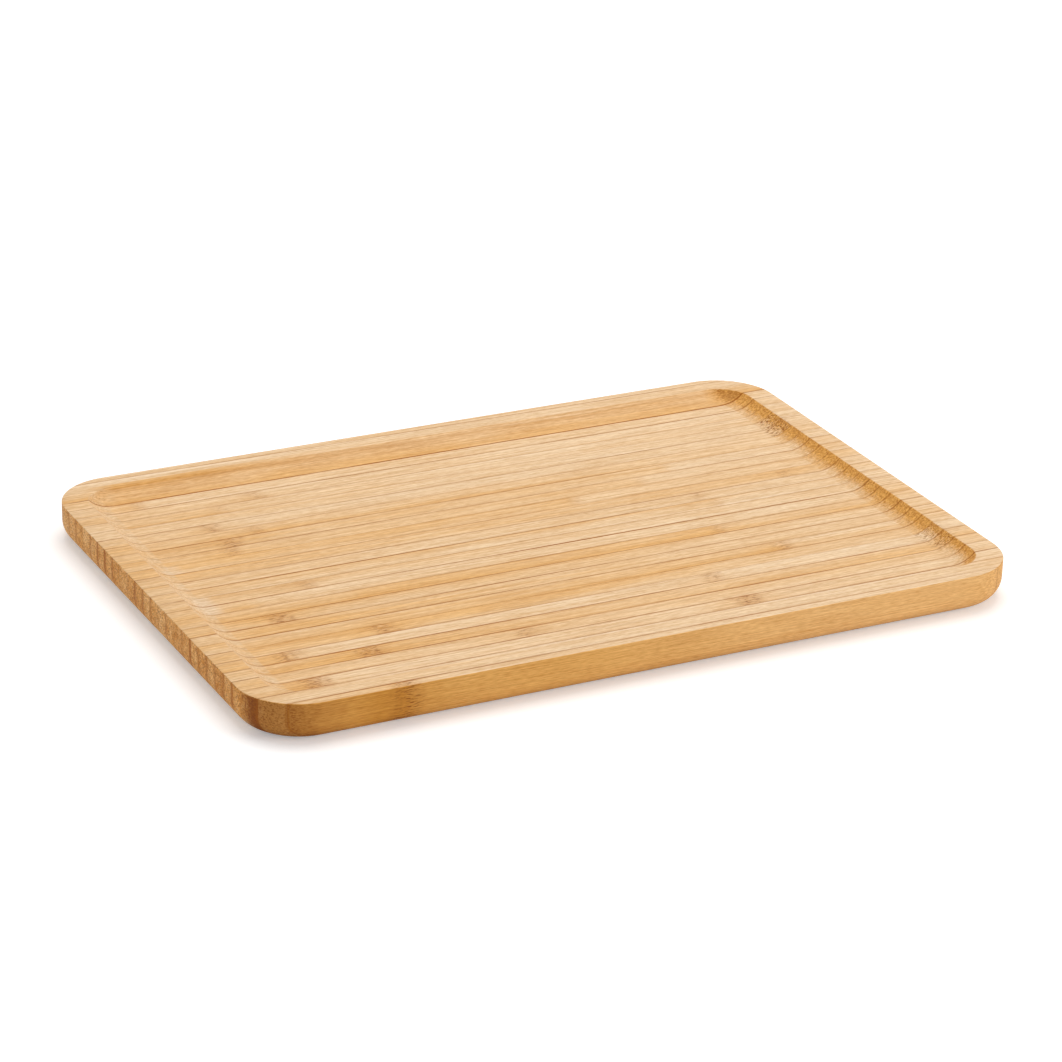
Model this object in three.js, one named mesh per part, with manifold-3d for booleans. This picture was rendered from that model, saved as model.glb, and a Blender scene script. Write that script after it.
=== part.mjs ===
// Bamboo serving tray: a board of bamboo strips glued side by side, with a shallow well hollowed
// into its top, a flat rim round the well and a rounded lower edge. Millimetres, +Z up. The origin
// is the middle of the underside, and the strips run along X.

import * as THREE from "three";
import { mergeVertices } from "three/addons/utils/BufferGeometryUtils.js";
import Module from "manifold-3d";

// The board
const trayLength = 300;
const trayWidth = 210;
const trayHeight = 15;
const cornerRadius = 23; // in plan, at the outer edge
const underRadius = 8; // round-over of the lower edge

// The well
const rimWidth = 10; // flat land between the outer edge and the well
const wellDepth = 4;
const coveRadius = 12; // hollow round that joins the well's floor to the rim

// The strips
const stripWidth = 7.4; // planed width, across the board
const glueFilm = 0.1; // glue joint between two strips
const leastEdgeStrip = 2; // a thinner offcut at a long side stays part of its neighbour

// The finish: strips of three tones, oiled
const stripTones = ["#ecc990", "#e3b87a", "#d8a562"];
const toneStep = 0.618; // share of the tone range from one strip to the next
const stripRoughness = 0.55;

// Fineness of the round surfaces
const cornerSegments = 6;
const underSegments = 6;
const coveSegments = 12;

const leastCorner = 0.5; // plan radius that is left where a round takes up a whole corner
const cutMargin = 1; // how far a cutting shape reaches past what it cuts

const wasm = await Module();
wasm.setup();

function solidOf(geometry) {
  geometry.deleteAttribute("normal");
  geometry.deleteAttribute("uv");
  const merged = mergeVertices(geometry);
  return new wasm.Manifold(
    new wasm.Mesh({
      numProp: 3,
      vertProperties: merged.attributes.position.array,
      triVerts: new Uint32Array(merged.index.array),
    }),
  );
}

function geometryOf(solid) {
  const { vertProperties, triVerts } = solid.getMesh();
  const geometry = new THREE.BufferGeometry();
  geometry.setAttribute("position", new THREE.BufferAttribute(vertProperties, 3));
  geometry.setIndex(new THREE.BufferAttribute(triVerts, 1));
  geometry.computeVertexNormals();
  return geometry;
}

// A rectangle with four round corners, centred on the origin.
function roundedRectangle(length, width, radius) {
  const x = length / 2 - radius;
  const y = width / 2 - radius;
  const quarter = Math.PI / 2;
  const shape = new THREE.Shape();
  shape.absarc(x, y, radius, 0, quarter);
  shape.absarc(-x, y, radius, quarter, 2 * quarter);
  shape.absarc(-x, -y, radius, 2 * quarter, 3 * quarter);
  shape.absarc(x, -y, radius, 3 * quarter, 4 * quarter);
  return shape;
}

// A pan with a flat bottom of the given outline at the given level, whose sides sweep out in a
// quarter round and then stand straight up past the level of the rim.
function pan(outline, level, round, segments) {
  const geometry = new THREE.ExtrudeGeometry(outline, {
    depth: Math.max(trayHeight - level - round, 0) + cutMargin,
    bevelSize: round,
    bevelThickness: round,
    bevelSegments: segments,
    curveSegments: cornerSegments,
  });
  geometry.translate(0, 0, level + round);
  return solidOf(geometry);
}

// The blank is taller than the tray: each strip is cut level at the rim.
function makeBlank() {
  const round = Math.min(underRadius, cornerRadius - leastCorner, trayHeight);
  const length = trayLength - 2 * round;
  const width = trayWidth - 2 * round;
  return pan(roundedRectangle(length, width, cornerRadius - round), 0, round, underSegments);
}

// The hollow follows the outer edge at the rim's width. Its cove meets the floor smoothly and
// breaks off at the rim, part of the way up its round.
function makeWell() {
  const coveRise = Math.min(wellDepth, coveRadius);
  const coveRun = Math.sqrt(coveRise * (2 * coveRadius - coveRise));
  const inset = rimWidth + coveRun;
  const corner = Math.max(cornerRadius - inset, leastCorner);
  const floor = roundedRectangle(trayLength - 2 * inset, trayWidth - 2 * inset, corner);
  return pan(floor, trayHeight - wellDepth, coveRadius, coveSegments);
}

// The space of one strip, from its front face to its back face and up to the level of the rim.
function makeSlice(front, back) {
  const height = trayHeight + cutMargin;
  const geometry = new THREE.BoxGeometry(trayLength + 2 * cutMargin, back - front, height);
  geometry.translate(0, (front + back) / 2, trayHeight - height / 2);
  return solidOf(geometry);
}

function stripName(index, count) {
  if (index === 0) return "front_edge_strip";
  if (index === count - 1) return "back_edge_strip";
  return `strip_${String(index + 1).padStart(2, "0")}`;
}

// One strip lies on the middle of the board, and as many as fit lie on each side of it. The two
// outer ones are sawn to the board's width.
function makeTray() {
  const board = makeBlank().subtract(makeWell());
  const pitch = stripWidth + glueFilm;
  const edge = trayWidth / 2 + cutMargin;
  const jointsPerSide = Math.floor((trayWidth / 2 - leastEdgeStrip) / pitch + 0.5);
  const stripCount = 2 * jointsPerSide + 1;
  const tray = new THREE.Group();
  for (let index = 0; index < stripCount; index += 1) {
    const middle = (index - jointsPerSide) * pitch;
    const front = index === 0 ? -edge : middle - stripWidth / 2;
    const back = index === stripCount - 1 ? edge : middle + stripWidth / 2;
    const tone = Math.floor(((index * toneStep) % 1) * stripTones.length);
    const material = new THREE.MeshStandardMaterial({
      color: stripTones[tone],
      roughness: stripRoughness,
      metalness: 0,
    });
    const strip = new THREE.Mesh(geometryOf(board.intersect(makeSlice(front, back))), material);
    strip.name = stripName(index, stripCount);
    tray.add(strip);
  }
  return tray;
}

export default makeTray();
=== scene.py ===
import math

import bpy
from mathutils import Matrix, Vector


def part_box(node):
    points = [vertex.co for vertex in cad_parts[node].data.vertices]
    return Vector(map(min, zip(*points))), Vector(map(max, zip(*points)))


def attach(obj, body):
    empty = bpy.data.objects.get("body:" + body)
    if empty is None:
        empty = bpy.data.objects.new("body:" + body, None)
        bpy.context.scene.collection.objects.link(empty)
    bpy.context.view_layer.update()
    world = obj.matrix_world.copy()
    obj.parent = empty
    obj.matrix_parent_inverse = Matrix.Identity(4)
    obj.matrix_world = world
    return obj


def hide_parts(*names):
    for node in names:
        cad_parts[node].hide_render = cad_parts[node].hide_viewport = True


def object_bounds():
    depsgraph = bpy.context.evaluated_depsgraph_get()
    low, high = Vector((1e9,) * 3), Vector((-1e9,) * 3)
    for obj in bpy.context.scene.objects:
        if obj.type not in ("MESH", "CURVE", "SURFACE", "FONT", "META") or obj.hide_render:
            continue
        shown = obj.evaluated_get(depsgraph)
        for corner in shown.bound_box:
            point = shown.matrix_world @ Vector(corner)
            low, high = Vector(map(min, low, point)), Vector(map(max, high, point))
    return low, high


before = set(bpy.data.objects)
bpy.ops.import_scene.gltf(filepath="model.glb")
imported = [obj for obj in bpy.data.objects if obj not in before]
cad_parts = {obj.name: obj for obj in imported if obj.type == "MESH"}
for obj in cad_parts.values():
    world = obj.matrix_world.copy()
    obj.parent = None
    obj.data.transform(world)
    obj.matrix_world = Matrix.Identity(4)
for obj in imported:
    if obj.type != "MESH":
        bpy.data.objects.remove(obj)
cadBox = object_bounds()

# Bamboo serving tray: one board of glued bamboo strips, hollowed and rounded after gluing.
# Metres, +Z up. The strips run along X, and the front of the tray faces -Y.

mm = 1000  # in a metre: the patterns of the materials are sized in mm
noiseMiddle = 0.5  # what a noise texture gives on average
smooth = {"interpolation_type": "SMOOTHSTEP"}


def linearColour(hexColour):
    parts = [int(hexColour[place:place + 2], 16) / 255 for place in (1, 3, 5)]
    linear = [part / 12.92 if part <= 0.04045 else ((part + 0.055) / 1.055) ** 2.4 for part in parts]
    return (*linear, 1.0)


# Adds one shader node. An input is a value, another node's output, or a node for its first output.
def addNode(tree, kind, inputs=None, **settings):
    node = tree.nodes.new("ShaderNode" + kind)
    for name, value in settings.items():
        setattr(node, name, value)
    for socket, value in (inputs or {}).items():
        if isinstance(value, bpy.types.Node):
            tree.links.new(value.outputs[0], node.inputs[socket])
        elif isinstance(value, bpy.types.NodeSocket):
            tree.links.new(value, node.inputs[socket])
        else:
            node.inputs[socket].default_value = value
    return node


def newMaterial(name):
    material = bpy.data.materials.new(name)
    material.use_nodes = True
    material.node_tree.nodes.clear()
    return material, material.node_tree


def fillRamp(ramp, colours):
    while len(ramp.elements) < len(colours):
        ramp.elements.new(0.5)
    for index, hexColour in enumerate(colours):
        ramp.elements[index].position = index / (len(colours) - 1)
        ramp.elements[index].color = linearColour(hexColour)


# The camera stands where the photograph was taken from
camera = {
    "azimuth": -27.08,  # degrees round the tray, from its front towards its left end
    "elevation": 23.45,
    "roll": 1.47,
    "distance": 1.4057,
    "aim": (0.0032, 0.0037, 0.0109),  # what the middle of the picture shows
    "lens": 128.9,  # mm
    "sensor": 36,
    "farthest": 50,
}


def addCamera():
    bpy.ops.object.camera_add()
    eye = bpy.context.object
    eye.name = "photoCamera"
    turn = Matrix.Rotation(math.radians(camera["azimuth"]), 3, "Z")
    tilt = Matrix.Rotation(math.radians(90 - camera["elevation"]), 3, "X")
    roll = Matrix.Rotation(math.radians(camera["roll"]), 3, "Z")
    facing = turn @ tilt @ roll
    eye.rotation_euler = facing.to_euler()
    eye.location = Vector(camera["aim"]) + facing @ Vector((0, 0, camera["distance"]))
    eye.data.lens = camera["lens"]
    eye.data.sensor_width = camera["sensor"]
    eye.data.clip_end = camera["farthest"]
    bpy.context.scene.camera = eye


# A white room, one large soft lamp overhead to the right and a weak one low at the right front
studio = {
    "lamps": {
        "overheadLamp": {"place": (0.15, 0.3, 1.39), "size": 1.2, "power": 11.9},
        "sideLamp": {"place": (0.75, -0.9, 0.45), "size": 0.6, "power": 3.8},
    },
    "white": "#ffffff",
    "roomStrength": 0.45,
    "floorSize": 8,
    "floorColour": "#f4f4f4",
    "floorRoughness": 0.9,
    # lifts the floor to white for the camera alone: little by the tray, whose shadow stays
    "floorLift": {"From Min": 0.35, "From Max": 1.2, "To Min": 0.3, "To Max": 0.8},
}


def addLamps():
    for name, lamp in studio["lamps"].items():
        bpy.ops.object.light_add(type="AREA", location=lamp["place"])
        light = bpy.context.object
        light.name = name
        light.data.shape = "DISK"
        light.data.size = lamp["size"]
        light.data.energy = lamp["power"]
        light.rotation_euler = Vector(lamp["place"]).to_track_quat("Z", "Y").to_euler()


# White to the camera and in reflections, and dimmer as a light
def addRoom():
    world = bpy.data.worlds.new("whiteRoom")
    bpy.context.scene.world = world
    world.use_nodes = True
    tree = world.node_tree
    tree.nodes.clear()
    rays = addNode(tree, "LightPath")
    seen = rays.outputs["Is Camera Ray"]
    for ray in ("Is Glossy Ray", "Is Transmission Ray"):
        seen = addNode(tree, "Math", {0: seen, 1: rays.outputs[ray]}, operation="MAXIMUM")
    strength = addNode(tree, "MapRange", {"Value": seen, "To Min": studio["roomStrength"]})
    room = addNode(tree, "Background", {"Color": linearColour(studio["white"]), "Strength": strength})
    addNode(tree, "OutputWorld", {"Surface": room})


# Matt white paper: an even, bright ground with no gloss
def addFloor():
    material, tree = newMaterial("paperFloor")
    rays = addNode(tree, "LightPath")
    coordinates = addNode(tree, "TexCoord")
    away = addNode(tree, "VectorMath", {0: coordinates.outputs["Object"]}, operation="LENGTH")
    lift = addNode(tree, "MapRange", {"Value": away.outputs["Value"], **studio["floorLift"]}, **smooth)
    lift = addNode(tree, "Math", {0: lift, 1: rays.outputs["Is Camera Ray"]}, operation="MULTIPLY")
    paper = addNode(tree, "BsdfPrincipled", {
        "Base Color": linearColour(studio["floorColour"]),
        "Roughness": studio["floorRoughness"],
        "Emission Color": linearColour(studio["white"]),
        "Emission Strength": lift,
    })
    addNode(tree, "OutputMaterial", {"Surface": paper})
    bpy.ops.mesh.primitive_plane_add(size=studio["floorSize"])
    floor = bpy.context.object
    floor.name = "paperFloor"
    floor.data.materials.append(material)


bpy.context.scene.view_settings.view_transform = "Standard"
bpy.ops.object.select_all(action="DESELECT")
addCamera()
addLamps()
addRoom()
addFloor()
print("camera and studio set")


# The board before it is parted into strips. Its length, width and height come from the frame.
board = {
    "corner": 0.023,  # plan radius
    "cornerSteps": 20,
    "under": 0.008,  # round of the lower edge
    "underSteps": 10,
    "rim": 0.010,
    "wellDepth": 0.004,
    "cove": 0.012,
    "coveSteps": 10,
    "upward": 0.5,  # the normal of the top face has more Z than this
    "sharpAngle": 30,
    "sandedEdge": 0.0003,  # the sharp edges are broken with sandpaper
    "sandedSteps": 3,
}


def selectEdges(piece, wanted):
    bpy.ops.mesh.select_mode(type="EDGE")
    bpy.ops.mesh.select_all(action="DESELECT")
    bpy.ops.object.mode_set(mode="OBJECT")
    points = piece.data.vertices
    for edge in piece.data.edges:
        edge.select = wanted(*(points[index].co for index in edge.vertices))
    bpy.ops.object.mode_set(mode="EDIT")


def selectFaces(piece, wanted):
    bpy.ops.mesh.select_mode(type="FACE")
    bpy.ops.mesh.select_all(action="DESELECT")
    bpy.ops.object.mode_set(mode="OBJECT")
    for face in piece.data.polygons:
        face.select = wanted(face)
    bpy.ops.object.mode_set(mode="EDIT")


def makeBoard():
    size = Vector(cadBox[1]) - Vector(cadBox[0])
    bpy.ops.object.select_all(action="DESELECT")
    bpy.ops.mesh.primitive_cube_add(size=1)
    blank = bpy.context.object
    blank.name = "board"
    bpy.ops.object.mode_set(mode="EDIT")
    bpy.ops.transform.resize(value=size)
    bpy.ops.transform.translate(value=(0, 0, size.z / 2))

    # round the four corners, then the lower edge
    selectEdges(blank, lambda a, b: abs(a.z - b.z) > size.z / 2)
    bpy.ops.mesh.bevel(offset=board["corner"], segments=board["cornerSteps"], affect="EDGES")
    selectEdges(blank, lambda a, b: max(a.z, b.z) < size.z / 2)
    bpy.ops.mesh.bevel(offset=board["under"], segments=board["underSteps"], affect="EDGES")

    # mill the well: the rim first, then down its cove in small steps
    selectFaces(blank, lambda face: face.normal.z > board["upward"])
    bpy.ops.mesh.inset(thickness=board["rim"])
    radius = board["cove"]
    steepest = math.acos(1 - board["wellDepth"] / radius)
    angles = [steepest * (1 - step / board["coveSteps"]) for step in range(board["coveSteps"] + 1)]
    for above, below in zip(angles, angles[1:]):
        inward = radius * (math.sin(above) - math.sin(below))
        down = radius * (math.cos(below) - math.cos(above))
        bpy.ops.mesh.inset(thickness=inward, depth=-down)

    # break the edges of the rim
    bpy.ops.mesh.select_mode(type="EDGE")
    bpy.ops.mesh.select_all(action="DESELECT")
    bpy.ops.mesh.edges_select_sharp(sharpness=math.radians(board["sharpAngle"]))
    bpy.ops.mesh.bevel(offset=board["sandedEdge"], segments=board["sandedSteps"], affect="EDGES")
    bpy.ops.object.mode_set(mode="OBJECT")
    return blank


# The strips of the board, from the front. Each row reads along the strip from its left end: a
# tone, then a node as its place in mm along X and how strong it shows, then the tone past it. A
# node of no strength is a slow change of tone.
strips = {
    "front_edge_strip": ("straw", (-97, 1.0), "oat", (10, 0), "cream"),
    "strip_02": ("wheat", (-60, 0), "pale"),
    "strip_03": ("straw", (-100, 0), "cream"),
    "strip_04": ("gold", (-121, 1.0), "pale", (47, 1.0), "pale"),
    "strip_05": ("straw", (-100, 0), "wheat", (-38, 0.5), "wheat"),
    "strip_06": ("honey", (-94, 1.0), "gold", (-20, 0), "straw"),
    "strip_07": ("gold", (-121, 0.9), "pale", (45, 0.6), "cream"),
    "strip_08": ("gold", (-82, 0.8), "gold", (45, 0), "wheat"),
    "strip_09": ("straw", (-110, 0), "gold", (82, 0.6), "wheat"),
    "strip_10": ("honey", (-70, 0), "straw", (50, 0), "wheat"),
    "strip_11": ("gold", (-112, 0.9), "straw", (40, 0), "wheat"),
    "strip_12": ("gold", (-80, 0.1), "honey", (68, 0.4), "straw"),
    "strip_13": ("straw", (-115, 0.1), "oat", (35, 0), "pale"),
    "strip_14": ("straw", (-92, 0.5), "wheat", (0, 0), "pale"),
    "strip_15": ("straw", (-60, 0), "wheat", (80, 0.2), "pale"),
    "strip_16": ("straw", (-100, 0), "oat", (76, 0.3), "pale"),
    "strip_17": ("honey", (-95, 0), "straw", (118, 0.4), "straw"),
    "strip_18": ("gold", (31, 0.2), "wheat"),
    "strip_19": ("gold", (-105, 0.6), "straw", (63, 0.1), "oat"),
    "strip_20": ("gold", (-102, 0.8), "straw", (79, 0.1), "pale"),
    "strip_21": ("straw", (-90, 0.4), "straw", (60, 0), "wheat"),
    "strip_22": ("wheat", (-104, 0.6), "pale"),
    "strip_23": ("wheat", (-70, 0), "pale"),
    "strip_24": ("straw", (-95, 0.3), "wheat", (-50, 0), "pale"),
    "strip_25": ("wheat", (-77, 0.4), "pale"),
    "strip_26": ("straw", (-121, 0.3), "pale"),
    "strip_27": ("gold",),
    "strip_28": ("pale",),
    "back_edge_strip": ("wheat",),
}

# What else differs from strip to strip, and how the strips are cut
stripMaking = {
    "tones": {"cream": 0.1, "pale": 0.22, "oat": 0.29, "wheat": 0.36, "straw": 0.48, "gold": 0.58,
              "honey": 0.68},
    "farNode": (999, 0),  # off the end of the tray, for a strip with fewer than two nodes
    "seedStep": 0.618,
    "leanStep": 7.3,
    "lean": 0.14,  # most that a strip darkens towards its back
    "leans": {"strip_27": -0.16},
    # how brown a left end is, at the strip's front and at its back
    "darkEnds": {"front_edge_strip": (0.05, 0.75), "strip_02": (0.58, 0.6), "strip_03": (1.7, 0.2)},
    # how strong a painted sheen shows on a strip at the foot of the cove at the left end
    "footSheens": {"strip_13": 0.7, "strip_14": 0.7, "strip_18": 0.45},
    # how much deeper the tone of a sawn end is
    "endTones": {"strip_04": 0.2, "strip_05": 0.25, "strip_06": 0.15, "strip_10": 0.15,
                 "strip_17": 0.1, "strip_21": -0.15},
    # how strong a node shows in the cove at the right end
    "coveNodes": {"strip_06": 0.75, "strip_07": 0.7, "strip_22": 1.25, "strip_23": 1.15},
    # how far up the cove at the right end its brown band and painted shade start, from 0 at the floor
    "rubbedFrom": {
        "strip_04": 0.34, "strip_05": 0.38, "strip_06": 0.34, "strip_07": 0.36, "strip_08": 0.16,
        "strip_09": 0.14, "strip_10": 0.14, "strip_11": 0.17, "strip_12": 0.16, "strip_13": 0.16,
        "strip_14": 0.28, "strip_15": 0.22, "strip_16": 0.26, "strip_17": 0.17, "strip_18": 0.16,
        "strip_19": 0.27, "strip_20": 0.32, "strip_21": 0.18, "strip_24": 0.17, "strip_25": 0.14,
        "strip_26": 0.08, "strip_27": 0.08, "strip_28": 0.08,
    },
    "rubbedUsually": 0.22,
    "cutMargin": 1e-6,
    "smoothAngle": 30,
}

# What the bamboo is told of each strip, three values to a mesh attribute. The spare one is 0.
stripFacts = {
    "stripTones": ("firstTone", "middleTone", "lastTone"),
    "stripNodes": ("firstNode", "secondNode", "seed"),
    "stripMarks": ("firstStrength", "secondStrength", "lean"),
    "stripEnds": ("endTone", "coveNode", "rubbedFrom"),
    "stripGlue": ("frontGlue", "backGlue", "footSheen"),
    "stripPlace": ("across", "darkEnd", "spare"),
}

# The glue lines, from the front: how dark each one shows at its left and at its right end
glue = {
    "darkness": (
        (0.9, 0.5), (0.6, 0.4), (0.45, 0.8), (0.9, 0.5), (0.7, 0.7), (1.15, 0.6), (0.75, 0.1),
        (0.1, 0.5), (0.95, 0.5), (0.7, 0.75), (0.65, 0.5), (0.6, 0.5), (0.8, 1.05), (0.25, 0.35),
        (0.85, 0.4), (0.45, 0.6), (0.6, 0.2), (0.0, 0.5), (0.5, 0.65), (0.85, 0.2), (0.5, 0.2),
        (0.6, 0.45), (0.45, 0.2), (0.45, 0.3), (0.75, 0.6), (1.2, 1.1), (0.12, 0.05), (0.5, 0.5),
    ),
    # on the sawn ends only some lines are dark: those at the left end, by number
    "endDarkness": {4: 0.85, 5: 0.65, 6: 0.5, 7: 0.62, 8: 0.3, 9: 0.92, 10: 0.5, 11: 0.05, 12: 0.55,
                    14: 0.5, 15: 0.7, 16: 0.7, 18: 0.1, 19: 0.7, 20: 1.0, 21: 0.85, 22: 0.5,
                    23: 0.05, 24: 0.35, 25: 0.4},
    "endUsually": 0.2,
    "endDepth": 0.002,  # how far in from the end that holds
    "patch": 60,  # mm, about how far a line keeps its strength
    "detail": 3,
    "rowStep": 13.7,  # sets the noise of each line apart
    "wear": {"From Min": 0.38, "From Max": 0.62, "To Min": 0.48, "To Max": 1.0},
    "sunk": 0.00002,  # the glue shrinks back a little from the surface
}


# How dark the line of this number, counted from 1 at the front, shows at a place along it
def darknessAt(number, place):
    if not 1 <= number <= len(glue["darkness"]):
        return 0
    if place.x < cadBox[0][0] + glue["endDepth"]:
        return glue["endDarkness"].get(number, glue["endUsually"])
    left, right = glue["darkness"][number - 1]
    share = (place.x - cadBox[0][0]) / (cadBox[1][0] - cadBox[0][0])
    return left + (right - left) * share


def copyPiece(source, name):
    bpy.ops.object.select_all(action="DESELECT")
    source.select_set(True)
    bpy.context.view_layer.objects.active = source
    bpy.ops.object.duplicate()
    piece = bpy.context.object
    piece.name = name
    piece.data.name = name
    return piece


# Keeps what lies between two planes across Y. A limit at the board's own side needs no cut.
def cutSlice(piece, front, back):
    edge = cadBox[1][1] - stripMaking["cutMargin"]
    bpy.ops.object.mode_set(mode="EDIT")
    for place, keepsBack in ((front, True), (back, False)):
        if abs(place) < edge:
            bpy.ops.mesh.select_all(action="SELECT")
            bpy.ops.mesh.bisect(plane_co=(0, place, 0), plane_no=(0, 1, 0), use_fill=True,
                                clear_inner=keepsBack, clear_outer=not keepsBack)
    bpy.ops.object.mode_set(mode="OBJECT")
    bpy.ops.object.shade_smooth_by_angle(angle=math.radians(stripMaking["smoothAngle"]))


def writeAttribute(piece, name, valueAt):
    attribute = piece.data.attributes.new(name, "FLOAT_VECTOR", "POINT")
    for point, vertex in zip(attribute.data, piece.data.vertices):
        point.vector = valueAt(vertex.co)


def makeStrip(blank, name, row, index, pitch):
    low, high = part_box(name)
    strip = copyPiece(blank, name + "_grain")
    cutSlice(strip, low.y, high.y)
    tones = [stripMaking["tones"][word] for word in row[0::2]]
    nodes = list(row[1::2])
    tones += [tones[-1]] * (3 - len(tones))
    nodes += [stripMaking["farNode"]] * (2 - len(nodes))
    seed = (index + 1) * stripMaking["seedStep"] % 1
    usualLean = (seed * stripMaking["leanStep"] % 1 * 2 - 1) * stripMaking["lean"]
    own = {
        "seed": seed,
        "lean": stripMaking["leans"].get(name, usualLean),
        "endTone": stripMaking["endTones"].get(name, 0),
        "coveNode": stripMaking["coveNodes"].get(name, 0),
        "rubbedFrom": stripMaking["rubbedFrom"].get(name, stripMaking["rubbedUsually"]),
        "footSheen": stripMaking["footSheens"].get(name, 0),
    }
    own.update(zip(stripFacts["stripTones"], tones))
    for which, (along, strength) in zip(("first", "second"), nodes):
        own[which + "Node"] = along
        own[which + "Strength"] = strength
    middle = (index - (len(strips) - 1) / 2) * pitch
    darkFront, darkBack = stripMaking["darkEnds"].get(name, (0, 0))

    def factsAt(place):
        across = (place.y - middle) / pitch * 2  # from -1 at the strip's front to 1 at its back
        return {
            **own,
            "across": across,
            "darkEnd": darkFront + (darkBack - darkFront) * (across + 1) / 2,
            "frontGlue": darknessAt(index, place),
            "backGlue": darknessAt(index + 1, place),
        }

    for attribute, facts in stripFacts.items():
        writeAttribute(strip, attribute, lambda place: [factsAt(place).get(fact, 0) for fact in facts])
    return strip


def makeGlueLine(shrunkBlank, number, front, back):
    line = copyPiece(shrunkBlank, f"glue_line_{number:02d}")
    cutSlice(line, front, back)
    writeAttribute(line, "lineGlue", lambda place: (darknessAt(number, place), number, 0))
    return line


def perMm(sizes):
    return [1 / size for size in sizes]


# How strong a glue line shows along its length: it comes and goes, each line in its own way
def glueWear(tree, alongMm, number):
    step = addNode(tree, "Math", {0: alongMm, 1: glue["patch"]}, operation="DIVIDE")
    row = addNode(tree, "Math", {0: number, 1: glue["rowStep"]}, operation="MULTIPLY")
    spot = addNode(tree, "CombineXYZ", {"X": step, "Y": row})
    noise = addNode(tree, "TexNoise", {"Vector": spot, "Scale": 1, "Detail": glue["detail"]})
    return addNode(tree, "MapRange", {"Value": noise, **glue["wear"]})


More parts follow.
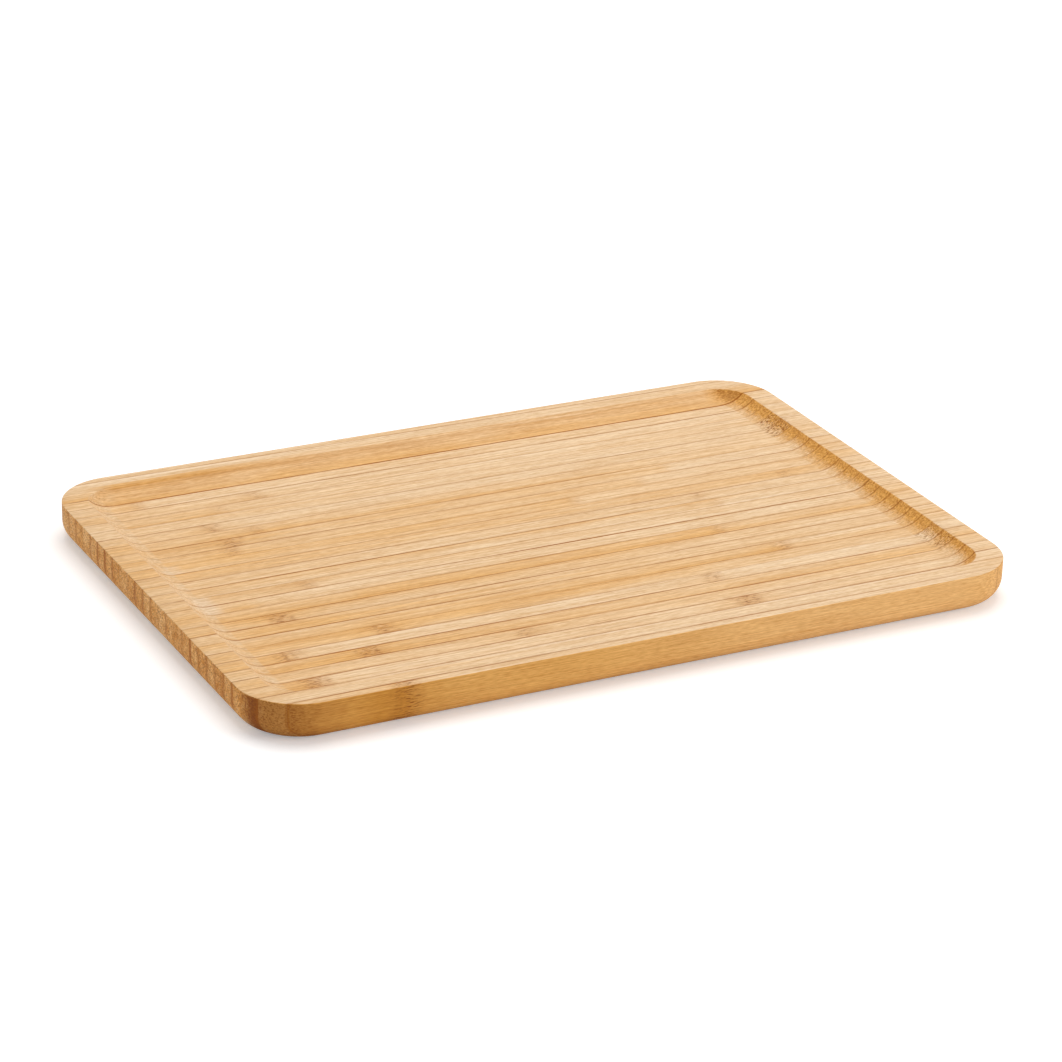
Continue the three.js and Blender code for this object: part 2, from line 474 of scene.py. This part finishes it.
# Bamboo, planed and sanded, wiped with oil: pale straw to amber, streaked along its fibres with
# darker bundles that show as dots on sawn ends, crossed by nodes, with a low silky gloss.
bamboo = {
    "tones": ("#edcea7", "#e9c599", "#e5bb88", "#e2af6f", "#dca257", "#ce8d39"),
    "sideTones": ("#eebb7c", "#e3a758", "#ce8c35", "#b97624", "#a56619"),
    "endTones": ("#f5bc74", "#e9a858", "#d38a34"),
    "darkestTone": 1.15,  # gets the last of these colours
    # mm along, across and through the strip: real bundles are finer, and are drawn to show
    "grain": {
        "streak": (160, 2.6, 2.6),
        "fibre": (30, 0.5, 0.4),
        "fine": (3.2, 0.42, 0.35),
        "mottle": (30, 9, 9),
        "wander": (1000, 2.6, 4),
        "fleck": (2.6, 0.5, 0.5),
        "grit": (1.2, 0.8, 0.6),
        "patch": (6, 2.5, 3),
        "sanding": (4, 0.25, 0.25),
        "tongue": (1000, 2.5, 1000),
    },
    "bundle": (26, 1.0, 0.8),
    "detail": 2,
    "grainShift": 2000,  # mm, sets the grain of the strips apart
    "swings": {"streak": 0.4, "mottle": 0.3},  # of the tone
    "sideSwing": 0.12,  # the flat sides are more even
    "haloTone": 0.15,  # how much deeper the tone is around a node
    "rimTone": 0.4,  # the rims at both ends are worn towards this tone
    "rimShare": 0.22,
    # of the tint, on the faces, the flat sides and the sawn ends
    "shades": {"fibre": (3.4, 3.4, 2), "fine": (3.2, 3.4, 2), "grit": (0, 0, 8)},
    "shadeTint": "#ece0cd",  # darker fibres are browner
    # the marks, in the order in which they lie over the tone
    "marks": {
        # partly a brown band of the right end's cove, partly painted shade there and on the back cove's top
        "coveBrownAndShade": "#d89a44",
        # painted shade in the corners of the right end's cove
        "cornerShade": "#be8235",
        # painted sheen on the cove at the left end
        "coveSheen": "#dabb94",
        # painted sheen at the foot of the cove at the left end
        "footSheen": "#e6c9a6",
        "darkEnd": "#944f04",
        "bundle": "#8f4e10",
        "node": "#b8741f",
        "paleFleck": "#efd9b4",
        "fleck": "#8a4a08",
        "stain": "#a65e00",
        "endStain": "#b46404",
    },
    "nodeShare": 0.35,
    "fleckShare": 0.85,
    # the brown band and painted shade of the coves: how uneven their lower edge is, how strong at the right
    # end, and how far up the back cove the painted shade starts
    "unevenBrownShade": {"tongue": 0.15, "fleck": 0.3},  # of the height of the cove
    "rightBrownShade": 0.95,
    "backShadeFrom": 0.6,
    "coveNodePlace": 3.5,  # mm in from the inner edge of the rim, like the next two
    "overEdgePlace": -0.4,
    "footSheenPlace": 8,
    "coveGlue": 0.2,  # how much darker the glue lines are in the right cove's brown band and painted shade
    "roughness": 0.56,
    "roughnessSwing": 0.12,
    "ior": 1.45,
    "gloss": 0.25,  # specular level: the sanded surface scatters half of its gloss
    "dotDepth": 0.6,
    "bump": {"Strength": 0.3, "Distance": 0.0001},
    # where the marks start and end, and how strong they get
    "ranges": {
        # mm along the strip, the first for a slow change or a faint node
        "nodeWander": {"To Min": -2.5, "To Max": 2.5},
        "toneReach": {"To Min": 65, "To Max": 4},
        "pastNode": {"From Min": -1, "From Max": 1},
        "nodeWidth": {"To Min": 3.5, "To Max": 8},
        "nodeBand": {"From Max": 0.5},
        "nodeHalo": {"From Min": 24, "From Max": 1},
        "coveNode": {"From Min": 6, "From Max": 2},
        # mm in from the inner edge of the rim
        "onRim": {"From Min": 18, "From Max": -2},
        "darkEnd": {"From Min": 24, "From Max": 10},
        # where the painted shade of the coves, with the right cove's brown band, starts, fades and reaches
        "backShadeStart": {"From Max": 14},
        "backShadeFade": {"From Min": 70, "From Max": 140, "To Min": 0.45, "To Max": 0.04},
        "rubRight": {"From Min": 15, "From Max": 7},
        "rubBack": {"From Min": 17, "From Max": 9},
        "overEdge": {"From Min": 2.2, "From Max": 1, "To Max": 0.75},
        "overEdgeFade": {"From Min": 105, "From Max": 50},
        "cornerShadeAtBack": {"From Min": 155, "From Max": 35, "To Min": 0.3},
        "coveSheen": {"From Min": 14, "From Max": 6},
        "footSheen": {"From Min": 6, "From Max": 1},
        # how far the surface is turned
        "sideways": {"From Min": 0.1, "From Max": 0.6},
        "endways": {"From Min": 0.76, "From Max": 0.95},
        "upright": {"From Min": 0.5, "From Max": 0.1},
        "upward": {"From Max": 0.3},
        "slope": {"From Min": 1, "From Max": 1 - board["wellDepth"] / board["cove"]},
        "rubbed": {"From Min": -0.38, "From Max": 0.34},
        "cornerShade": {"From Min": 0.15, "From Max": 0.33},
        "dotted": {"From Min": 0.3, "From Max": 0.8, "To Min": 0.1},
        # outside the coves and in them
        "mostSide": {"To Min": 1, "To Max": 0.25},
        "mostDots": {"To Min": 0.7, "To Max": 0.3},
        # on the faces and on the flat sides
        "mostPale": {"To Min": 0.33, "To Max": 0},
        # from the lowest to the highest of a noise, or of the strips' seeds
        "endTone": {"To Min": -0.25, "To Max": 0.25},
        "endPatch": {"To Min": -1, "To Max": 1},
        "coveSheenPatch": {"From Min": 0.35, "From Max": 0.65, "To Min": 0.15, "To Max": 0.6},
        "fleck": {"From Min": 0.52, "From Max": 0.62},
        "paleFleck": {"From Min": 0.44, "From Max": 0.32},
        "speckle": {"To Min": 0.8, "To Max": 1.2},
        "dots": {"From Min": 0.45, "From Max": 0.15},
        # the glue's stain: mm from the joint on a face and on a sawn end, and its wear on the rim
        "stainReach": {"To Min": 0.52, "To Max": 1.7},
        "stain": {"From Max": 0.25},
        "rimWear": {"To Min": 1.1, "To Max": 0.8},
    },
}
ranges = bamboo["ranges"]


# What the look of a point depends on: where it lies, how it faces, and the facts of its strip
def readPoint(tree):
    coordinates = addNode(tree, "TexCoord").outputs
    place = addNode(tree, "VectorMath", {0: coordinates["Object"], "Scale": mm}, operation="SCALE")
    axes = addNode(tree, "SeparateXYZ", {0: place}).outputs
    normal = addNode(tree, "SeparateXYZ", {0: coordinates["Normal"]}).outputs
    point = {"place": place, "x": axes["X"], "y": axes["Y"], "up": normal["Z"]}
    for axis in ("X", "Y"):
        point["turned" + axis] = addNode(tree, "Math", {0: normal[axis]}, operation="ABSOLUTE")
    # the coves alone face the middle of the tray
    facing = addNode(tree, "VectorMath", {0: coordinates["Normal"], 1: place}, operation="DOT_PRODUCT")
    point["inCove"] = addNode(tree, "Math", {0: facing.outputs["Value"], 1: 0}, operation="LESS_THAN")

    # mm in from the inner edge of the rim
    innerX = (cadBox[1][0] - board["rim"]) * mm
    innerY = (cadBox[1][1] - board["rim"]) * mm
    point["fromLeft"] = addNode(tree, "Math", {0: point["x"], 1: innerX}, operation="ADD")
    point["fromRight"] = addNode(tree, "Math", {0: innerX, 1: point["x"]}, operation="SUBTRACT")
    point["fromBack"] = addNode(tree, "Math", {0: innerY, 1: point["y"]}, operation="SUBTRACT")
    fromEnd = addNode(tree, "Math", {0: point["fromLeft"], 1: point["fromRight"]}, operation="MINIMUM")
    point["onRim"] = addNode(tree, "MapRange", {"Value": fromEnd, **ranges["onRim"]})

    for attribute, facts in stripFacts.items():
        values = addNode(tree, "Attribute", attribute_name=attribute)
        values = addNode(tree, "SeparateXYZ", {0: values.outputs["Vector"]})
        point.update(zip(facts, values.outputs))

    # how much of a flat side and of a sawn end shows
    mostSide = addNode(tree, "MapRange", {"Value": point["inCove"], **ranges["mostSide"]})
    point["sideShare"] = addNode(tree, "MapRange", {"Value": point["turnedY"], "To Max": mostSide,
                                                    **ranges["sideways"]}, **smooth)
    point["endShare"] = addNode(tree, "MapRange", {"Value": point["turnedX"],
                                                   **ranges["endways"]}, **smooth)
    return point


# The noises of the grain, which each strip has its own part of
def makeGrain(tree, point):
    shift = addNode(tree, "Math", {0: point["seed"], 1: bamboo["grainShift"]}, operation="MULTIPLY")
    shift = addNode(tree, "CombineXYZ", {"X": shift})
    own = addNode(tree, "VectorMath", {0: point["place"], 1: shift}, operation="ADD")
    grain = {}
    for name, sizes in bamboo["grain"].items():
        scaled = addNode(tree, "VectorMath", {0: own, 1: perMm(sizes)}, operation="MULTIPLY")
        inputs = {"Vector": scaled, "Scale": 1, "Detail": bamboo["detail"]}
        grain[name] = addNode(tree, "TexNoise", inputs)
    scaled = addNode(tree, "VectorMath", {0: own, 1: perMm(bamboo["bundle"])}, operation="MULTIPLY")
    bundle = addNode(tree, "TexVoronoi", {"Vector": scaled, "Scale": 1})
    dots = bundle.outputs["Distance"]
    grain["dots"] = addNode(tree, "MapRange", {"Value": dots, **ranges["dots"]})
    grain["darkFleck"] = addNode(tree, "MapRange", {"Value": grain["fleck"], **ranges["fleck"]})
    return grain


# The tone along the strip, and how near a node is: its line wanders across the strip
def toneAlong(tree, point, grain):
    wander = addNode(tree, "MapRange", {"Value": grain["wander"], **ranges["nodeWander"]})
    point["strayedX"] = addNode(tree, "Math", {0: point["x"], 1: wander}, operation="ADD")
    tone = point["firstTone"]
    band = halo = 0.0
    for which, nextTone in (("first", "middleTone"), ("second", "lastTone")):
        strength = point[which + "Strength"]
        gap = addNode(tree, "Math", {0: point["strayedX"], 1: point[which + "Node"]}, operation="SUBTRACT")
        isNode = addNode(tree, "Math", {0: strength}, operation="CEIL")
        reach = addNode(tree, "MapRange", {"Value": isNode, **ranges["toneReach"]})
        share = addNode(tree, "Math", {0: gap, 1: reach}, operation="DIVIDE")
        past = addNode(tree, "MapRange", {"Value": share, **ranges["pastNode"]}, **smooth)
        tone = addNode(tree, "Mix", {0: past, 2: tone, 3: point[nextTone]})
        distance = addNode(tree, "Math", {0: gap}, operation="ABSOLUTE")
        width = addNode(tree, "MapRange", {"Value": strength, **ranges["nodeWidth"]})
        near = addNode(tree, "MapRange", {"Value": distance, "From Min": width, "To Max": strength,
                                          **ranges["nodeBand"]}, **smooth)
        around = addNode(tree, "MapRange", {"Value": distance, "To Max": strength,
                                            **ranges["nodeHalo"]}, **smooth)
        band = addNode(tree, "Math", {0: band, 1: near}, operation="MAXIMUM")
        halo = addNode(tree, "Math", {0: halo, 1: around}, operation="MAXIMUM")

    # the rims at both ends are worn more even, and a strip changes from its front to its back
    even = addNode(tree, "Math", {0: point["onRim"], 1: bamboo["rimShare"]}, operation="MULTIPLY")
    tone = addNode(tree, "Mix", {0: even, 2: tone, 3: bamboo["rimTone"]})
    tone = addNode(tree, "Math", {0: point["across"], 1: point["lean"], 2: tone}, operation="MULTIPLY_ADD")
    tone = addNode(tree, "Math", {0: halo, 1: bamboo["haloTone"], 2: tone}, operation="MULTIPLY_ADD")
    return tone, band


# The plain colour of the strip: streaked on its faces, more golden on its flat sides, and on its
# sawn ends deeper and patchy, with more difference from strip to strip
def plainColour(tree, point, grain, tone):
    swings = 0.0
    for name, amount in bamboo["swings"].items():
        swing = addNode(tree, "Math", {0: grain[name], 1: noiseMiddle}, operation="SUBTRACT")
        swings = addNode(tree, "Math", {0: swing, 1: amount, 2: swings}, operation="MULTIPLY_ADD")
    tones = {}
    for name, amount in (("tones", 1), ("sideTones", bamboo["sideSwing"])):
        swung = addNode(tree, "Math", {0: swings, 1: amount, 2: tone}, operation="MULTIPLY_ADD")
        tones[name] = addNode(tree, "Math", {0: swung, 1: bamboo["darkestTone"]}, operation="DIVIDE",
                              use_clamp=True)
    endTone = addNode(tree, "MapRange", {"Value": point["seed"], **ranges["endTone"]})
    for share in (tones["tones"], point["endTone"]):
        endTone = addNode(tree, "Math", {0: endTone, 1: share}, operation="ADD")
    patchy = addNode(tree, "MapRange", {"Value": grain["patch"], **ranges["endPatch"]})
    tones["endTones"] = addNode(tree, "Math", {0: endTone, 1: patchy}, operation="ADD", use_clamp=True)

    ramps = {}
    for name, factor in tones.items():
        ramps[name] = addNode(tree, "ValToRGB", {0: factor})
        fillRamp(ramps[name].color_ramp, bamboo[name])
    colour = addNode(tree, "Mix", {0: point["sideShare"], 6: ramps["tones"], 7: ramps["sideTones"]},
                     data_type="RGBA")
    return addNode(tree, "Mix", {0: point["endShare"], 6: colour.outputs[2], 7: ramps["endTones"]},
                   data_type="RGBA")


# The marks on the coves, each as its share: a brown band under painted shade, painted shade in corners, and
# painted sheen
def coveBrownShadeAndSheen(tree, point, grain):
    marks = {}

    # two coves are painted brown: the right end's, partly its own brown band and partly painted shade, and
    # the back one's top towards the left, painted shade
    slope = addNode(tree, "MapRange", {"Value": point["up"], **ranges["slope"]})
    for name, most in bamboo["unevenBrownShade"].items():
        uneven = addNode(tree, "MapRange", {"Value": grain[name], "To Min": -most, "To Max": most})
        slope = addNode(tree, "Math", {0: slope, 1: uneven}, operation="ADD")
    start = addNode(tree, "MapRange", {"Value": point["fromLeft"], **ranges["backShadeStart"]})
    fade = addNode(tree, "MapRange", {"Value": point["fromLeft"], **ranges["backShadeFade"]})
    brownAndShadeSides = {
        "Right": (point["rubbedFrom"], (bamboo["rightBrownShade"],)),
        "Back": (bamboo["backShadeFrom"], (start, fade)),
    }
    for side, (level, shares) in brownAndShadeSides.items():
        above = addNode(tree, "Math", {0: slope, 1: level}, operation="SUBTRACT")
        rubbed = addNode(tree, "MapRange", {"Value": above, **ranges["rubbed"]}, **smooth)
        reached = addNode(tree, "MapRange", {"Value": point["from" + side], **ranges["rub" + side]})
        for share in (reached, point["inCove"], *shares):
            rubbed = addNode(tree, "Math", {0: rubbed, 1: share}, operation="MULTIPLY")
        point["rubbed" + side] = rubbed

    # towards the left the painted shade runs over the edge of the back cove on to the rim
    upward = addNode(tree, "MapRange", {"Value": point["up"], **ranges["upward"]})
    over = addNode(tree, "Math", {0: point["fromBack"], 1: bamboo["overEdgePlace"]}, operation="SUBTRACT")
    over = addNode(tree, "Math", {0: over}, operation="ABSOLUTE")
    over = addNode(tree, "MapRange", {"Value": over, **ranges["overEdge"]}, **smooth)
    overFade = addNode(tree, "MapRange", {"Value": point["fromLeft"], **ranges["overEdgeFade"]})
    for share in (upward, start, overFade):
        over = addNode(tree, "Math", {0: over, 1: share}, operation="MULTIPLY")
    marks["coveBrownAndShade"] = over
    for share in (point["rubbedRight"], point["rubbedBack"]):
        marks["coveBrownAndShade"] = addNode(tree, "Math", {0: marks["coveBrownAndShade"], 1: share}, operation="MAXIMUM")

    # painted shade in the corners of the right end's cove, most at the back
    cornerShade = addNode(tree, "Math", {0: point["turnedX"], 1: point["turnedY"]}, operation="MINIMUM")
    cornerShade = addNode(tree, "MapRange", {"Value": cornerShade, **ranges["cornerShade"]}, **smooth)
    atBack = addNode(tree, "MapRange", {"Value": point["fromBack"], **ranges["cornerShadeAtBack"]})
    for share in (point["rubbedRight"], atBack):
        cornerShade = addNode(tree, "Math", {0: cornerShade, 1: share}, operation="MULTIPLY")
    marks["cornerShade"] = cornerShade

    # painted sheen: the cove at the left end, which faces the lamps, is painted paler and greyer, and a few
    # strips paler still at its foot
    coveSheen = addNode(tree, "MapRange", {"Value": point["fromLeft"], **ranges["coveSheen"]})
    patch = addNode(tree, "MapRange", {"Value": grain["patch"], **ranges["coveSheenPatch"]})
    for share in (point["inCove"], patch):
        coveSheen = addNode(tree, "Math", {0: coveSheen, 1: share}, operation="MULTIPLY")
    marks["coveSheen"] = coveSheen
    foot = addNode(tree, "Math", {0: point["fromLeft"], 1: bamboo["footSheenPlace"]}, operation="SUBTRACT")
    foot = addNode(tree, "Math", {0: foot}, operation="ABSOLUTE")
    foot = addNode(tree, "MapRange", {"Value": foot, "To Max": point["footSheen"],
                                      **ranges["footSheen"]}, **smooth)
    marks["footSheen"] = addNode(tree, "Math", {0: foot, 1: upward}, operation="MULTIPLY")
    return marks


# What grew in the bamboo: brown ends, bundles and nodes, each mark as its share
def growthMarks(tree, point, grain, band):
    marks = {}

    # a few strips are brown at their left end
    speckle = addNode(tree, "MapRange", {"Value": grain["darkFleck"], **ranges["speckle"]})
    upright = addNode(tree, "MapRange", {"Value": point["up"], **ranges["upright"]})
    atEnd = addNode(tree, "MapRange", {"Value": point["fromLeft"], **ranges["darkEnd"]})
    darkEnd = addNode(tree, "Math", {0: point["darkEnd"], 1: speckle}, operation="MULTIPLY", use_clamp=True)
    for share in (upright, atEnd):
        darkEnd = addNode(tree, "Math", {0: darkEnd, 1: share}, operation="MULTIPLY")
    marks["darkEnd"] = darkEnd

    # bundles: long dashes on the faces and dots on the ends, fewer where the cutter smeared them
    mostDots = addNode(tree, "MapRange", {"Value": point["inCove"], **ranges["mostDots"]})
    dotted = addNode(tree, "MapRange", {"Value": point["turnedX"], "To Max": mostDots, **ranges["dotted"]})
    marks["bundle"] = addNode(tree, "Math", {0: grain["dots"], 1: dotted}, operation="MULTIPLY")

    # nodes: a soft brown band with dark and pale flecks in it, in the right cove the flecks alone
    marks["node"] = addNode(tree, "Math", {0: band, 1: bamboo["nodeShare"]}, operation="MULTIPLY")
    coveNodeX = (cadBox[1][0] - board["rim"]) * mm - bamboo["coveNodePlace"]
    gap = addNode(tree, "Math", {0: point["strayedX"], 1: coveNodeX}, operation="SUBTRACT")
    gap = addNode(tree, "Math", {0: gap}, operation="ABSOLUTE")
    inCoveNode = addNode(tree, "MapRange", {"Value": gap, "To Max": point["coveNode"],
                                            **ranges["coveNode"]}, **smooth)
    band = addNode(tree, "Math", {0: band, 1: inCoveNode}, operation="MAXIMUM")
    point["flecked"] = addNode(tree, "Math", {0: band, 1: grain["darkFleck"]}, operation="MULTIPLY")
    marks["fleck"] = addNode(tree, "Math", {0: point["flecked"], 1: bamboo["fleckShare"]},
                             operation="MULTIPLY", use_clamp=True)
    mostPale = addNode(tree, "MapRange", {"Value": point["sideShare"], **ranges["mostPale"]})
    pale = addNode(tree, "MapRange", {"Value": grain["fleck"], "To Max": mostPale, **ranges["paleFleck"]})
    marks["paleFleck"] = addNode(tree, "Math", {0: band, 1: pale}, operation="MULTIPLY", use_clamp=True)
    return marks


# The glue stains the edges of the strips, more in some places than in others
def glueMarks(tree, point, pitchMm):
    number = addNode(tree, "Math", {0: point["y"], 1: 1 / pitchMm, 2: 1}, operation="MULTIPLY_ADD")
    number = addNode(tree, "Math", {0: number}, operation="FLOOR")
    wear = glueWear(tree, point["x"], number)
    rimWear = addNode(tree, "MapRange", {"Value": point["onRim"], **ranges["rimWear"]})
    wear = addNode(tree, "Math", {0: wear, 1: rimWear}, operation="MULTIPLY")
    wear = addNode(tree, "Mix", {0: point["endShare"], 2: wear, 3: glue["wear"]["To Max"]})
    atBack = addNode(tree, "Math", {0: point["across"], 1: 0}, operation="GREATER_THAN")
    darkness = addNode(tree, "Mix", {0: atBack, 2: point["frontGlue"], 3: point["backGlue"]})
    darkness = addNode(tree, "Math", {0: darkness, 1: wear}, operation="MULTIPLY")
    # darker still in the right cove's brown band and painted shade
    darkness = addNode(tree, "Math", {0: point["rubbedRight"], 1: bamboo["coveGlue"], 2: darkness},
                       operation="MULTIPLY_ADD", use_clamp=True)
    gap = addNode(tree, "Math", {0: point["across"]}, operation="ABSOLUTE")
    gap = addNode(tree, "MapRange", {"Value": gap, "To Min": pitchMm / 2, "To Max": 0})
    reach = addNode(tree, "MapRange", {"Value": point["endShare"], **ranges["stainReach"]})
    stain = addNode(tree, "MapRange", {"Value": gap, "From Min": reach, "To Max": darkness,
                                       **ranges["stain"]})
    endStain = addNode(tree, "Math", {0: stain, 1: point["endShare"]}, operation="MULTIPLY")
    faceStain = addNode(tree, "Math", {0: stain, 1: endStain}, operation="SUBTRACT")
    return {"stain": faceStain, "endStain": endStain}


def bambooMaterial(pitchMm):
    material, tree = newMaterial("sandedOiledBamboo")
    point = readPoint(tree)
    grain = makeGrain(tree, point)
    tone, band = toneAlong(tree, point, grain)
    colour = plainColour(tree, point, grain, tone)
    shares = {
        **coveBrownShadeAndSheen(tree, point, grain),
        **growthMarks(tree, point, grain, band),
        **glueMarks(tree, point, pitchMm),
    }
    for name, hexColour in bamboo["marks"].items():
        colour = addNode(tree, "Mix", {0: shares[name], 6: colour.outputs[2], 7: linearColour(hexColour)},
                         data_type="RGBA")

    # fibres lighten and darken the colour: fine lines on the faces, grit where the grain is cut
    sawn = addNode(tree, "Math", {0: point["endShare"], 1: point["rubbedRight"]}, operation="MAXIMUM")
    shade = 0.0
    for name, (onFace, onSide, onEnd) in bamboo["shades"].items():
        amount = addNode(tree, "MapRange", {"Value": point["sideShare"], "To Min": onFace, "To Max": onSide})
        amount = addNode(tree, "Mix", {0: sawn, 2: amount, 3: onEnd})
        swing = addNode(tree, "Math", {0: grain[name], 1: noiseMiddle}, operation="SUBTRACT")
        shade = addNode(tree, "Math", {0: swing, 1: amount, 2: shade}, operation="MULTIPLY_ADD")
    colour = addNode(tree, "Mix", {0: shade, 6: colour.outputs[2], 7: linearColour(bamboo["shadeTint"])},
                     data_type="RGBA", blend_type="MULTIPLY", clamp_factor=False)

    roughness = addNode(tree, "MapRange", {
        "Value": grain["fibre"],
        "To Min": bamboo["roughness"] - bamboo["roughnessSwing"],
        "To Max": bamboo["roughness"] + bamboo["roughnessSwing"],
    })
    height = addNode(tree, "Math", {0: grain["dots"], 1: -bamboo["dotDepth"], 2: grain["sanding"]},
                     operation="MULTIPLY_ADD")
    height = addNode(tree, "Math", {0: height, 1: point["flecked"]}, operation="SUBTRACT")
    bump = addNode(tree, "Bump", {"Height": height, **bamboo["bump"]})
    surface = addNode(tree, "BsdfPrincipled", {
        "Base Color": colour.outputs[2],
        "Roughness": roughness,
        "IOR": bamboo["ior"],
        "Specular IOR Level": bamboo["gloss"],
        "Normal": bump,
    })
    addNode(tree, "OutputMaterial", {"Surface": surface})
    return material


# Cured resin glue: thin brown lines that go paler where the joint is tight.
resin = {
    "tones": ("#d6a566", "#9c5f1c", "#744208"),
    "roughness": 0.45,
    "gloss": 0.25,
}


def resinMaterial():
    material, tree = newMaterial("curedResinGlue")
    coordinates = addNode(tree, "TexCoord").outputs
    place = addNode(tree, "VectorMath", {0: coordinates["Object"], "Scale": mm}, operation="SCALE")
    along = addNode(tree, "SeparateXYZ", {0: place}).outputs["X"]
    values = addNode(tree, "Attribute", attribute_name="lineGlue")
    values = addNode(tree, "SeparateXYZ", {0: values.outputs["Vector"]})
    darkness, number = values.outputs[:2]
    wear = glueWear(tree, along, number)
    worn = addNode(tree, "Math", {0: darkness, 1: wear}, operation="MULTIPLY")
    colour = addNode(tree, "ValToRGB", {0: worn})
    fillRamp(colour.color_ramp, resin["tones"])
    surface = addNode(tree, "BsdfPrincipled", {
        "Base Color": colour,
        "Roughness": resin["roughness"],
        "Specular IOR Level": resin["gloss"],
    })
    addNode(tree, "OutputMaterial", {"Surface": surface})
    return material


names = list(strips)
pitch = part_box(names[2])[0].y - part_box(names[1])[0].y
blank = makeBoard()
print("board milled,", len(blank.data.polygons), "faces")

bambooWood = bambooMaterial(pitch * mm)
for index, name in enumerate(names):
    strip = makeStrip(blank, name, strips[name], index, pitch)
    strip.data.materials.append(bambooWood)
    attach(strip, "root")
    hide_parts(name)
print(len(names), "strips cut")

resinGlue = resinMaterial()
shrunkBlank = copyPiece(blank, "shrunkBoard")
bpy.ops.object.mode_set(mode="EDIT")
bpy.ops.mesh.select_all(action="SELECT")
bpy.ops.transform.shrink_fatten(value=-glue["sunk"])
bpy.ops.object.mode_set(mode="OBJECT")
for number, (name, nextName) in enumerate(zip(names, names[1:]), 1):
    line = makeGlueLine(shrunkBlank, number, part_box(name)[1].y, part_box(nextName)[0].y)
    line.data.materials.append(resinGlue)
    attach(line, "root")
print(len(names) - 1, "glue lines laid")

for spare in (blank, shrunkBlank):
    bpy.data.objects.remove(spare)
